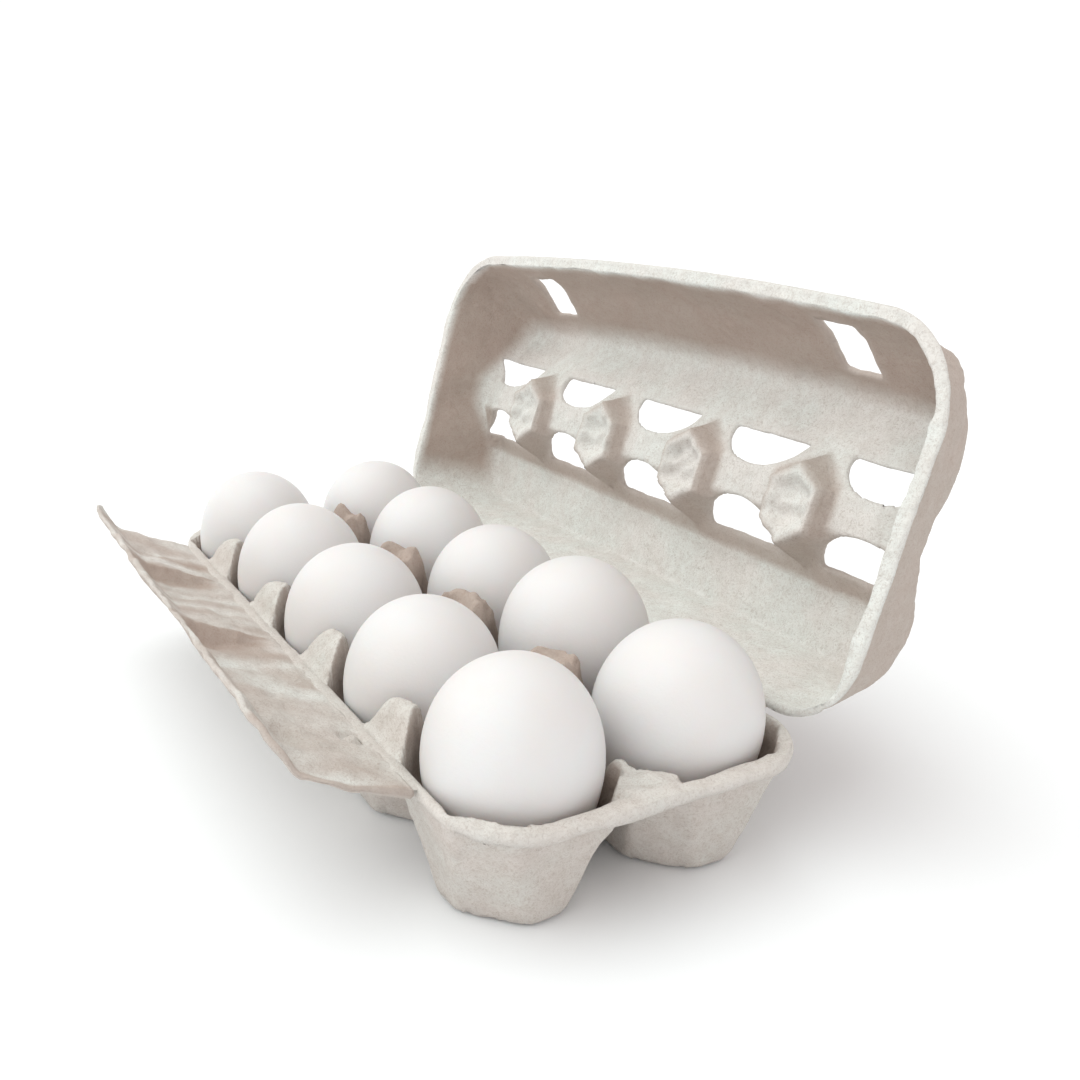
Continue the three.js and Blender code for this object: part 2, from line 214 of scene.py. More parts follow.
def inset_from(x, y, half_x, half_y, corner):
    """Distance in from the edge of a rounded rectangle, positive inside it."""
    px = np.abs(x) - (half_x - corner)
    py = np.abs(y) - (half_y - corner)
    straight = np.minimum(half_x - np.abs(x), half_y - np.abs(y))
    return np.where((px > 0) & (py > 0), corner - np.hypot(px, py), straight)


def round_corner(x, y, half_x, half_y, corner):
    """Draws the square corner of a grid in to a quarter circle: each point there keeps its
    direction from the circle's centre, and max(px, py) becomes its distance from it."""
    cx = half_x - corner
    cy = half_y - corner
    px = np.maximum(np.abs(x) - cx, 0)
    py = np.maximum(np.abs(y) - cy, 0)
    far = np.hypot(px, py)
    pull = np.where((px > 0) & (py > 0), np.maximum(px, py) / np.maximum(far, 1e-9), 1)
    bent_x = np.where(px > 0, np.sign(x) * (cx + px * pull), x)
    bent_y = np.where(py > 0, np.sign(y) * (cy + py * pull), y)
    return bent_x, bent_y


def ball_offset(height, thickness, side):
    """The surface one thickness to one side of z = height(x, y): at each place the furthest
    that a ball of that radius reaches while its centre rolls along the surface."""

    def offset(x, y):
        best = side * height(x, y) + thickness
        for ring in (0.3, 0.55, 0.75, 0.9, 1.0):
            rise = thickness * math.sqrt(1 - ring * ring)
            for turn in np.arange(12) * math.pi / 6:
                sx = thickness * ring * math.cos(turn)
                sy = thickness * ring * math.sin(turn)
                best = np.maximum(best, side * height(x + sx, y + sy) + rise)
        return side * best

    return offset


def waves(points, size, seed, count=18):
    """Unevenness: a sum of sine waves of length near size, each with its own direction."""
    rng = np.random.default_rng(seed)
    total = np.zeros(points.shape[:-1])
    for _ in range(count):
        heading = rng.normal(size=3)
        heading *= 2 * math.pi / (size * rng.uniform(0.6, 1.8) * np.linalg.norm(heading))
        total += np.sin(points @ heading + rng.uniform(0, 2 * math.pi))
    return total / math.sqrt(count / 2)


def stretches(*parts):
    """Grid lines: each part is (start, end, number of cells), one after the other."""
    lines = [np.linspace(a, b, cells + 1)[1:] for a, b, cells in parts]
    return np.concatenate([[parts[0][0]], *lines])


def mirrored(lines):
    """A run of grid lines from 0 outwards, with its mirror image before it."""
    return np.concatenate([-lines[:0:-1], lines])


# ------------------------------------------------------------------ meshes
def mesh_object(name, points, faces, material, **attributes):
    """A smooth-shaded object from points in metres and four-cornered faces. Points that no face
    uses are left out."""
    mesh = bpy.data.meshes.new(name)
    used, faces = np.unique(faces, return_inverse=True)
    faces = faces.reshape(-1, 4)
    mesh.from_pydata(points[used].tolist(), [], faces.tolist())
    mesh.polygons.foreach_set("use_smooth", np.ones(len(mesh.polygons), bool))
    for key, values in attributes.items():
        layer = mesh.attributes.new(key, "FLOAT", "POINT")
        layer.data.foreach_set("value", np.ascontiguousarray(values[used], np.float32))
    mesh.validate()
    mesh.materials.append(material)
    made = bpy.data.objects.new(name, mesh)
    bpy.context.scene.collection.objects.link(made)
    return made


def grid_normals(points):
    """Unit normals of a grid of points: the cross product of its two central differences."""
    normals = np.cross(np.gradient(points, axis=0), np.gradient(points, axis=1))
    return normals / np.maximum(np.linalg.norm(normals, axis=-1, keepdims=True), 1e-12)


def soften(values, passes):
    """Averages a grid with its neighbours along both of its ways, some number of times."""
    for _ in range(passes):
        wide = np.pad(values, ((1, 1), (1, 1)) + ((0, 0),) * (values.ndim - 2), "edge")
        rows = wide[:-2] + 2 * wide[1:-1] + wide[2:]
        values = (rows[:, :-2] + 2 * rows[:, 1:-1] + rows[:, 2:]) / 16
    return values


def slope_of(measure, x, y, step=0.3):
    """Central differences of a function of x and y."""
    along = (measure(x + step, y) - measure(x - step, y)) / (2 * step)
    across = (measure(x, y + step) - measure(x, y - step)) / (2 * step)
    return along, across


def pulp_wall(name, x, y, height, side, place, brown, back=0.42, pulp_at=None, under=None,
              seed=1):
    """A moulded wall of even thickness.

    The first skin is z = height(x, y) over the grid. Each point of the second skin lies one
    thickness along the first one's normal in plan, and at the ball offset of height there.
    Where pulp_at(x, y) is negative the wall has an opening, and the grid points beside it
    are slid down that function's slope on to its zero line. The two skins are joined round
    every edge by a third line of points that stands out a little, so the edge is round.
    brown(x, y) is how brown the first skin is painted: an even brown tone plus painted shade.
    back is how brown the second skin is: one even value of painted shade.
    """
    nx, ny = x.shape
    kept = np.ones((nx - 1, ny - 1), bool)
    if pulp_at is not None:
        mid_x = (x[1:, 1:] + x[:-1, :-1] + x[1:, :-1] + x[:-1, 1:]) / 4
        mid_y = (y[1:, 1:] + y[:-1, :-1] + y[1:, :-1] + y[:-1, 1:]) / 4
        kept = pulp_at(mid_x, mid_y) > 0
        around = np.pad(kept.astype(int), 1, "edge")
        full = around[1:, 1:] + around[:-1, 1:] + around[1:, :-1] + around[:-1, :-1]
        beside = (full > 0) & (full < 4)
        for _ in range(3):
            bx, by = x[beside], y[beside]
            along, across = slope_of(pulp_at, bx, by, 0.05)
            slide = pulp_at(bx, by) / np.maximum(along**2 + across**2, 1e-6)
            reach = np.hypot(along, across) * np.abs(slide)
            slide *= np.minimum(1, 1.2 / np.maximum(reach, 1e-6))
            x[beside] = bx - along * slide
            y[beside] = by - across * slide
    z = height(x, y)
    along, across = slope_of(height, x, y)
    lean = np.stack([-along, -across], -1)
    lean = soften(lean / np.sqrt(1 + (lean**2).sum(-1, keepdims=True)), 8)
    x2 = x + side * PULP * lean[..., 0]
    y2 = y + side * PULP * lean[..., 1]
    z2 = ball_offset(height, PULP, side)(x2, y2)
    if under is not None:
        z2 = under(x2, y2, z2)
    first = place(x, y, z)
    second = place(x2, y2, z2)
    for skin, outward, salt in ((first, -side, 0), (second, side, 10)):
        uneven = 0.22 * waves(skin, 22, seed + salt) + 0.1 * waves(skin, 7, seed + salt + 1)
        uneven += 0.05 * waves(skin, 3, seed + salt + 2)
        skin += outward * grid_normals(skin) * (uneven - 0.15)[..., None]

    i, j = np.nonzero(kept)
    corner = [i * ny + j, (i + 1) * ny + j, (i + 1) * ny + j + 1, i * ny + j + 1]
    count = nx * ny
    upper, lower = (0, count) if side < 0 else (count, 0)
    top = np.stack([c + upper for c in corner], 1)
    bottom = np.stack([corner[k] + lower for k in (0, 3, 2, 1)], 1)

    flat = (first.reshape(-1, 3) + second.reshape(-1, 3)) / 2
    centres = flat[np.stack(corner, 1)].mean(1)
    inner = np.zeros((count, 3))
    shared = np.zeros(count)
    for c in corner:
        np.add.at(inner, c, centres)
        np.add.at(shared, c, 1)
    inner /= np.maximum(shared, 1)[:, None]
    away = flat - inner
    away /= np.maximum(np.linalg.norm(away, axis=1, keepdims=True), 1e-9)
    middle = flat + away * 0.55

    wide = np.pad(kept, 1)
    walls = []
    edge_point = np.zeros(count, bool)
    beyond = (wide[i + 1, j], wide[i + 2, j + 1], wide[i + 1, j + 2], wide[i, j + 1])
    for k, other in enumerate(beyond):
        a, b = corner[k][~other], corner[(k + 1) % 4][~other]
        edge_point[a] = edge_point[b] = True
        mid_a, mid_b = a + 2 * count, b + 2 * count
        walls.append(np.stack([b + upper, a + upper, mid_a, mid_b], 1))
        walls.append(np.stack([mid_b, mid_a, a + lower, b + lower], 1))
    points = np.concatenate([first.reshape(-1, 3), second.reshape(-1, 3), middle]) * MM
    fray = soften(soften(edge_point.reshape(nx, ny).astype(float), 1) * 2, 1)
    fray = np.clip(fray, 0, 1).ravel()
    fray = np.concatenate([fray, fray, np.ones(count)])
    # Painted shade per point: the first skin's from its function, the second skin's from back,
    # and the edge ring's like the first skin's.
    tint = np.clip(brown(x, y), 0, 1).ravel()
    tint = np.concatenate([tint, np.full(count, back), tint])
    faces = np.concatenate([top, bottom, *walls])
    return mesh_object(name, points, faces, PULP_LOOK, fray=fray, brown=tint)


# ------------------------------------------------------------------ materials
class Value:
    """One output of a shader node, which can be used in sums."""

    def __init__(self, shader, output):
        self.shader = shader
        self.output = output

    def math(self, operation, first, second):
        return self.shader.node("ShaderNodeMath", {"operation": operation}, {0: first, 1: second})

    def __add__(self, other):
        return self.math("ADD", self, other)

    def __rsub__(self, other):
        return self.math("SUBTRACT", other, self)

    def __mul__(self, other):
        return self.math("MULTIPLY", self, other)

    def over(self, low, high):
        """0 below low, 1 above high, and smooth between."""
        return self.shader.node(
            "ShaderNodeMapRange",
            {"interpolation_type": "SMOOTHSTEP", "clamp": True},
            {0: self, 1: low, 2: high, 3: 0.0, 4: 1.0},
        )


class Shader:
    """A material whose nodes are made by one method."""

    def __init__(self, name):
        self.material = bpy.data.materials.new(name)
        self.material.use_nodes = True
        self.tree = self.material.node_tree
        self.tree.nodes.clear()
        coordinates = self.tree.nodes.new("ShaderNodeTexCoord")
        self.here = Value(self, coordinates.outputs["Object"])

    def node(self, kind, settings=None, values=None, output=0):
        made = self.tree.nodes.new(kind)
        for key, value in (settings or {}).items():
            setattr(made, key, value)
        for key, value in (values or {}).items():
            if isinstance(value, Value):
                self.tree.links.new(value.output, made.inputs[key])
            else:
                made.inputs[key].default_value = value
        return Value(self, made.outputs[output])

    def noise(self, scale, detail=2.0, roughness=0.5, distortion=0.0):
        values = {"Scale": scale, "Detail": detail, "Roughness": roughness}
        values |= {"Distortion": distortion, "Vector": self.here}
        return self.node("ShaderNodeTexNoise", {}, values)

    def cells(self, scale):
        values = {"Scale": scale, "Vector": self.here}
        return self.node("ShaderNodeTexVoronoi", {"feature": "F1"}, values, "Distance")

    def attribute(self, name):
        return self.node("ShaderNodeAttribute", {"attribute_name": name}, {}, "Fac")

    def between(self, factor, a, b):
        settings = {"data_type": "RGBA", "blend_type": "MIX"}
        return self.node("ShaderNodeMix", settings, {0: factor, 6: a, 7: b}, 2)

    def bump(self, height, distance, strength=1.0, normal=None):
        values = {"Strength": strength, "Distance": distance, "Height": height}
        if normal is not None:
            values["Normal"] = normal
        return self.node("ShaderNodeBump", {}, values)

    def finish(self, **sockets):
        values = {key.replace("_", " "): value for key, value in sockets.items()}
        surface = self.node("ShaderNodeBsdfPrincipled", {}, values)
        out = self.tree.nodes.new("ShaderNodeOutputMaterial")
        self.tree.links.new(surface.output, out.inputs["Surface"])
        return self.material


def pulp_material():
    """Grey-brown paper pulp: pinkish and greenish patches, matted fibres, paler fluff along
    every edge, and dark brown painted shade taken from a mesh attribute."""
    s = Shader("moulded_pulp")
    fray = s.attribute("fray")
    patch = s.noise(38, 3, 0.6).over(0.35, 0.65)
    cloud = s.noise(240, 3, 0.65).over(0.3, 0.7)
    matted = s.noise(1300, 4, 0.7, 1.8)
    fibre = s.noise(620, 3, 0.65, 2.6)
    colour = s.between(patch, (0.745, 0.765, 0.735, 1), (0.745, 0.72, 0.69, 1))
    colour = s.between(cloud * 0.35, colour, (0.58, 0.54, 0.50, 1))
    colour = s.between(fibre.over(0.48, 0.66) * 0.42, colour, (0.44, 0.385, 0.345, 1))
    colour = s.between(matted.over(0.52, 0.68) * 0.5, colour, (0.40, 0.34, 0.30, 1))
    colour = s.between((1 - matted).over(0.54, 0.68) * 0.5, colour, (0.78, 0.76, 0.73, 1))
    # Painted shade: dark brown mixed in as far as the brown attribute says. The attribute also
    # carries some even brown tone.
    colour = s.between(s.attribute("brown") * 0.68, colour, (0.33, 0.222, 0.17, 1))
    colour = s.between(fray * 0.25, colour, (0.68, 0.65, 0.62, 1))
    lumps = s.bump(s.noise(240, 3, 0.6), 0.001, 0.55)
    felt = s.bump(fibre + matted * 0.6 + fray * s.noise(1700, 3), 0.0004, 0.6, lumps)
    return s.finish(Base_Color=colour, Roughness=0.93, Normal=felt, Specular_IOR_Level=0.15)


def eggshell_material():
    """White eggshell: a faint warm cloud and fine pores."""
    s = Shader("eggshell")
    cloud = s.noise(60, 2, 0.5).over(0.3, 0.7)
    colour = s.between(cloud, (0.72, 0.715, 0.718, 1), (0.715, 0.695, 0.69, 1))
    pores = s.cells(1500).over(0.0, 0.35)
    colour = s.between((1 - pores) * 0.1, colour, (0.66, 0.62, 0.58, 1))
    grain = s.bump(s.noise(900, 3, 0.6) + pores * 0.3, 0.00012, 0.35)
    rough = s.noise(120, 2) * 0.12 + 0.42
    return s.finish(
        Base_Color=colour, Roughness=rough, Normal=grain, Subsurface_Weight=0.12,
        Subsurface_Scale=0.004, Specular_IOR_Level=0.35,
    )


def floor_material():
    """A plain pale floor."""
    s = Shader("pale_floor")
    return s.finish(Base_Color=(0.905, 0.925, 0.945, 1), Roughness=0.8, Specular_IOR_Level=0.1)


PULP_LOOK = pulp_material()
EGG_LOOK = eggshell_material()


# ------------------------------------------------------------------ tray
def cup_walls(x, y):
    """Four main walls and four corner walls, each a plane leaning outwards: the greatest of
    (|dx| - along) / draft, (|dy| - across) / draft and (|dx| + |dy|) / sqrt 2 likewise. The
    corner walls stand steeper in their upper part, beside the posts."""
    dx = to_nearest(CUP_CENTRES, x)
    dy = np.abs(np.abs(y) - ROW)
    along = (dx - CUP_FLOOR_ALONG) / CUP_DRAFT
    across = (dy - CUP_FLOOR_ACROSS) / CUP_DRAFT
    diagonal = (dx + dy) * math.sqrt(0.5)
    corner = (diagonal - CUP_FLOOR_DIAGONAL) / CORNER_DRAFT
    corner = smooth_max(corner, (diagonal - UPPER_DIAGONAL) / UPPER_DRAFT, 3)
    walls = smooth_max(smooth_max(along, across, 2.5), corner, 3)
    return smooth_max(CUP_FLOOR, CUP_FLOOR + walls, 1.4)


def octagon_reach(dx, dy):
    """Half width of the octagon through (dx, dy)."""
    dx, dy = np.abs(dx), np.abs(dy)
    return np.maximum(np.maximum(dx, dy), (dx + dy) * 0.76)


def post_height(x, y):
    """Blunt lumpy posts between four cups, with a hollow in the top; block-shaped ones between
    the front cups, with a ramp down to the flap; and lower ones at the hinge side. Inside each
    end of the tray, between its two cups, there is a flat land instead."""
    px = to_nearest(PARTITIONS, x)
    reach = octagon_reach(px, y)
    lumps = waves(np.stack([x, y, 0 * x], -1), 6, 90, 6)
    centre = POST_TOP - POST_SLOPE * np.maximum(0, reach - POST_FLAT) + POST_LUMPS * lumps
    centre = centre - POST_HOLLOW * bump(octagon_reach(px, y + 1.5), POST_HOLLOW_HALF)
    outer_fall = FRONT_RAMP * (-y - FRONT_POST_OUTER)
    fall = np.maximum(outer_fall, FRONT_INNER_SLOPE * (FRONT_POST_INNER + y))
    ramp = FRONT_POST_TOP - smooth_max(0, fall, 2) + SMALL_LUMPS * lumps
    ramp = ramp - smooth_max(0, px - FRONT_POST_HALF, 3)
    back_reach = octagon_reach(px, y - BACK_POST_AT)
    back = BACK_POST_TOP - BACK_POST_SLOPE * np.maximum(0, back_reach - BACK_POST_FLAT)
    posts = np.maximum(centre, np.where(y < 0, ramp, back))
    beyond = octagon_reach(np.abs(x) - END_LAND_AT, y) - END_LAND_HALF
    land = END_LAND_TOP - END_LAND_SLOPE * np.maximum(0, beyond)
    return np.where(np.abs(x) > 100, land + SMALL_LUMPS * lumps, posts)


def tray_top(x, y):
    """Cup walls, cut off from above by saddles, posts and the rim."""
    inset = inset_from(x, y, TRAY_HALF, TRAY_DEPTH_HALF, TRAY_CORNER)
    to_rim = RIM_TOP - RIM_SLOPE * np.maximum(0, inset - FLANGE)
    ridges = smooth_max(smooth_max(SADDLE, to_rim, 2), post_height(x, y), 2.5)
    return smooth_min(cup_walls(x, y), ridges, 2)


def tray_under(x, y, z):
    """The offset underside, cut off flat under the cups, with a thicker rolled edge."""
    inset = inset_from(x, y, TRAY_HALF, TRAY_DEPTH_HALF, TRAY_CORNER)
    return np.maximum(FOOT_BOTTOM, z) - RIM_BEAD * np.clip(1 - (inset - 1.5) / 1.5, 0, 1)


def tray_brown(x, y):
    """Painted shade over an even brown tone: browner on steep walls, down in the cups, and on the
    posts towards their hollows, where shade falls.
    """
    steep = np.hypot(*slope_of(tray_top, x, y))
    down = np.clip((30 - tray_top(x, y)) / 6, 0, 1)
    post = 1.5 * bump(octagon_reach(to_nearest(PARTITIONS, x), y), 16)
    return 0.25 + post + 0.55 * np.clip((steep - 1.3) / 1.5, 0, 1) + down


def make_tray():
    """The tray: a grid in plan, finest on the cups' walls, raised to tray_top."""
    half_cell = ((0, 8, 4), (8, 15.2, 7), (15.2, 21.6, 20), (21.6, 24, 4))
    cell = mirrored(stretches(*half_cell))[:-1]
    lines = np.concatenate([cell + centre for centre in CUP_CENTRES])
    lines = np.concatenate([[-125, -124.2, -123.3, -122.2, -121], lines])
    lines = np.concatenate([lines, [120, 121, 122.2, 123.3, 124.2, 125]])
    rows = mirrored(stretches((0, 3.5, 4), (3.5, 10, 20), (10, 17, 6), (17, 32.5, 8),
                              (32.5, 39.5, 7), (39.5, 46, 18), (46, 49.4, 5)))
    x, y = np.meshgrid(lines, rows, indexing="ij")
    x, y = round_corner(x, y, TRAY_HALF, TRAY_DEPTH_HALF, TRAY_CORNER)

    def place(px, py, pz):
        return np.stack([px, py + SET_BACK, pz], -1)

    tray = pulp_wall(
        "tray_pulp", x, y, tray_top, -1, place, tray_brown, under=tray_under, seed=3
    )
    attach(tray, "tray_with_eggs")
    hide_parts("tray")


# ------------------------------------------------------------------ lid
def free_edge(u):
    """The lid's free edge, which bows out in the middle as a parabola."""
    return LID_WIDTH + LID_BOW * (1 - (u / LID_HALF) ** 2)


def side_rise(inset, front):
    """Height of the back wall at an inset, or of the front wall, which leans more above its
    shoulder."""
    into = inset - FRONT_FLANGE
    shoulder = SHOULDER + (into - SHOULDER * FRONT_LEAN) / SHOULDER_LEAN
    front_rise = smooth_min(into / FRONT_LEAN, shoulder, 4)
    return np.where(front, front_rise, (inset - LID_HINGE_FLANGE) / BACK_LEAN)


def end_rise(inset):
    """Height of an end wall at an inset."""
    return (inset - LID_FLANGE) / END_LEAN


def lid_wall(u, v):
    """The four leaning walls, each rising evenly from its own line, with their corners
    rounded together. A much steeper wall, which starts from the inner line of the flange,
    keeps the flange's width where it goes round the corners."""
    front = v > VALLEY_AT
    side = side_rise(np.where(front, free_edge(u) - v, v), front)
    blend = np.where(front, *CORNER_BLEND[::-1])
    walls = smooth_min(side, end_rise(LID_HALF - np.abs(u)), blend)
    half = LID_WIDTH / 2
    t = (v - HINGE_GAP) * LID_WIDTH / (free_edge(u) - HINGE_GAP) - half
    free_inset = inset_from(u, t, LID_HALF, half, LID_FREE_CORNER) - FRONT_FLANGE
    hinge_inset = inset_from(u, t, LID_HALF, half, LID_HINGE_CORNER) - LID_HINGE_FLANGE
    return smooth_min(walls, np.where(front, free_inset, hinge_inset) / RIM_LEAN, 3)


def post_reach(u, v):
    """Half width of the hexagon through (u, v) round the nearest lid post."""
    pu = to_nearest(PARTITIONS, u)
    return np.maximum(pu, 0.5 * pu + 0.76 * np.abs(v - LID_POST_AT))


def lid_top(u, v):
    """Two long humps with a valley between them, and hexagonal posts down the valley, each
    with a shallow dish in its end and a lumpy rim."""
    across = np.abs(v - VALLEY_AT)
    end = np.clip((np.abs(u) - 98) / 10, 0, 1)
    floor = VALLEY_FLOOR + (VALLEY_END - VALLEY_FLOOR) * end
    slope = np.where(v > VALLEY_AT, VALLEY_SLOPE, VALLEY_BACK_SLOPE)
    valley = floor + np.maximum(0, across - VALLEY_HALF) * slope
    reach = post_reach(u, v)
    lumps = waves(np.stack([u, v, 0 * u], -1), 4, 91, 6)
    post = LID_POST + LID_POST_SIDE * np.maximum(0, reach - LID_POST_REACH)
    dish = np.clip((LID_POST_DISH_REACH - reach) / LID_POST_DISH, 0, 1)
    post = post + LID_POST_DISH * dish + 0.5 * lumps * bump(reach, 13)
    return smooth_min(LID_DEPTH, smooth_min(valley, post, 1.6), 3)


def lid_inside(u, v):
    """The lid's inner skin over its rim. Its ends are rounded more than its long sides."""
    end = np.clip((np.abs(u) - END_ROUND_FROM) / END_ROUND_OVER, 0, 1)
    width = LONG_ROUND + (END_ROUND - LONG_ROUND) * end
    return smooth_max(0, smooth_min(lid_wall(u, v), lid_top(u, v), width), 1.2)


def place_lid(u, v, w):
    """Stands the shut lid's shape open about its hinge line."""
    y = HINGE_Y - v * math.cos(LID_OPEN) + w * math.sin(LID_OPEN)
    z = HINGE_Z + v * math.sin(LID_OPEN) + w * math.cos(LID_OPEN)
    return np.stack([-u, y, z], -1)


def lid_pulp_at(u, v):
    """Negative in the ten windows, which are half ellipses with their flat sides along the
    humps, and in the two slanted lock holes of the front wall."""
    du = to_nearest(CUP_CENTRES, u)
    deep = np.where(v > VALLEY_AT, WINDOW_DEEP[1], WINDOW_DEEP[0])
    across = np.abs(v - VALLEY_AT) - np.where(v > VALLEY_AT, WINDOW_FLAT[1], WINDOW_FLAT[0])
    ellipse = (np.hypot(du / WINDOW_HALF, across / deep) - 1) * deep
    window = smooth_max(ellipse, across, 1.2)
    w = lid_inside(u, v)
    middle = (LOCK_LOW + LOCK_HIGH) / 2
    slant = LOCK_SLANT * (w - LOCK_LOW) / (LOCK_HIGH - LOCK_LOW)
    du = np.abs(np.abs(u) - LOCK_AT - slant) - LOCK_HALF
    dw = np.abs(w - middle) - (LOCK_HIGH - LOCK_LOW) / 2
    lock = np.where((v > LOCK_BEYOND) & (w < LOCK_BELOW), smooth_max(du, dw * 0.6, 1.5), 50)
    return np.minimum(window, lock)


def lid_brown(u, v):
    """Painted shade: browner on the front wall and the end walls, which face away from the light,
    on the valley's hinge side, which faces down, and down the sides of the posts."""
    wall, top = lid_wall(u, v), lid_top(u, v)
    standing = np.clip((top - wall) / 9 + 0.3, 0, 1) * np.clip(wall / 3, 0, 1)
    standing = standing * np.clip((v - 12) / 10, 0, 1)
    reach = post_reach(u, v)
    below = np.clip((v - 28.5) / 2, 0, 1) * np.clip((48 - v) / 3, 0, 1)
    below = below * (np.abs(u) < 112) * np.clip((reach - 8) / 2, 0, 1)
    post = bump(reach - 10.5, 3.5)
    return np.maximum(standing, np.maximum(0.8 * below, 0.8 * post))


def make_lid():
    """The lid: a grid in plan, drawn in at its four corners and bowed out along its free
    edge, raised to lid_inside."""
    lines = mirrored(stretches((0, 107, 107), (107, 119.3, 30), (119.3, 123.5, 7)))
    rows = stretches((0, 1.5, 2), (1.5, 11, 20), (11, 33, 18), (33, 72, 48), (72, 80, 7),
                     (80, 99.3, 36), (99.3, 102.5, 6))
    x, y = np.meshgrid(lines, rows, indexing="ij")
    half = LID_WIDTH / 2
    free_x, free_y = round_corner(x, y - half, LID_HALF, half, LID_FREE_CORNER)
    hinge_x, hinge_y = round_corner(x, y - half, LID_HALF, half, LID_HINGE_CORNER)
    u = np.where(y > VALLEY_AT, free_x, hinge_x)
    t = np.where(y > VALLEY_AT, free_y, hinge_y)
    v = (t + half) * (free_edge(u) - HINGE_GAP) / LID_WIDTH + HINGE_GAP
    # The lid's outer skin gets an even painted shade of 0.8.
    lid = pulp_wall(
        "lid_pulp", u, v, lid_inside, 1, place_lid, lid_brown, 0.8, lid_pulp_at, seed=40
    )
    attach(lid, "lid")
    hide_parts("lid")


# ------------------------------------------------------------------ flap
def pleat(past):
    """Height across a pleat, as a share of its depth: up to the crease, down beyond it in a
    few millimetres, and slowly back."""
    return np.interp(past, (-26, 0, 5.5, 34), (0, 0.5, -0.5, 0))


def past_crease(a, e, crease):
    """How far a place is beyond a pleat's crease, which slants a little across the flap."""
    return -a - crease - PLEAT_SLANT * (e - PLEAT_MIDDLE)


def flap_top(a, e):
    """Out along e, and along a, which runs the other way to X: a flat strip and a raised lip
    that curls up at its far end, with pleats that are deepest near the bend. Two locking knobs
    and a small ring are pressed into the face."""
    x = -a
    far = np.clip((a - 88) / 16, 0, 1) ** 2
    lip = FLAP_LIP_RISE * np.maximum(0, e - FLAP_WIDTH)
    curl = FLAP_CURL * far * np.clip((e - 22) / 16, 0, 1) ** 2
    deep = np.clip((e - 4) / 20, 0, 1) * np.clip((37 - e) / 9, 0, 1)
    pleats = sum(pleat(past_crease(a, e, crease)) for crease in PLEATS)
    knob = KNOB_DEPTH * bump(np.abs(x) - LOCK_AT, KNOB_HALF[0]) * bump(e - KNOB_OUT, KNOB_HALF[1])
    from_ring = np.hypot(x - RING_AT[0], e - RING_AT[1]) - RING_RADIUS
    ring = RING_DEPTH * bump(from_ring, RING_HALF)
    crinkle = CRINKLE * waves(np.stack([a, 0.6 * e, 0 * a], -1), 7, 93, 12) - CRINKLE
    crinkle = crinkle * np.clip(e / 10, 0, 1)
    return smooth_max(0, lip, 1.2) + curl + PLEAT_DEPTH * pleats * deep - knob - ring + crinkle


def place_flap(a, e, n):
    """Lays the flap out from its fold, tilted up."""
    y = FOLD_Y - e * math.cos(FLAP_TILT) + n * math.sin(FLAP_TILT)
    z = FOLD_Z + e * math.sin(FLAP_TILT) + n * math.cos(FLAP_TILT)
    return np.stack([-a, y, z], -1)


def flap_brown(a, e):
    """Browner in random streaks of tone, and painted shade along the creases, where the face
    falls away beyond them, and on the cut edge of the near end."""
    length = FLAP_WIDTH + FLAP_LIP
    streaks = 0.18 * waves(np.stack([a, 0.4 * e, 0 * a], -1), 12, 92, 10)
    past = [past_crease(a, e, crease) for crease in PLEATS]
    # Painted shade along each crease and down the slope beyond it.
    fall = sum(0.7 * bump(p - 6, 9) + bump(p - 1, 1.8) for p in past)
    straight = (a + FLAP_AT) / (1 + FLAP_FLARE / FLAP_HALF * e / length)
    inset = inset_from(straight, e, FLAP_HALF, length, FLAP_CORNER)
    # Painted shade on the cut edge of the near end.
    near_edge = np.clip(1.6 - inset, 0, 1) * np.clip((-straight - 76) / 6, 0, 1)
    return 0.42 + streaks + fall * np.clip((e - 3) / 6, 0, 1) + near_edge


def make_flap():
    """The flap: a grid that widens away from its fold, with round outer corners, raised to
    flap_top."""
    lines = mirrored(stretches((0, FLAP_HALF, 140)))
    length = FLAP_WIDTH + FLAP_LIP
    rows = stretches((FOLD_GAP + 0.8, length, 54))
    a, e = np.meshgrid(lines, rows, indexing="ij")
    far_a, far_e = round_corner(a, e, FLAP_HALF, length, FLAP_CORNER / 3)
    near_a, near_e = round_corner(a, e, FLAP_HALF, length, FLAP_CORNER)
    a, e = np.where(a > 0, far_a, near_a), np.where(a > 0, far_e, near_e)
    a = a * (1 + (FLAP_FLARE / FLAP_HALF) * (e / length)) - FLAP_AT
    # The flap's underside gets an even painted shade of 0.8.
    flap = pulp_wall("flap_pulp", a, e, flap_top, -1, place_flap, flap_brown, 0.8, seed=70)
    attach(flap, "flap")
    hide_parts("flap")


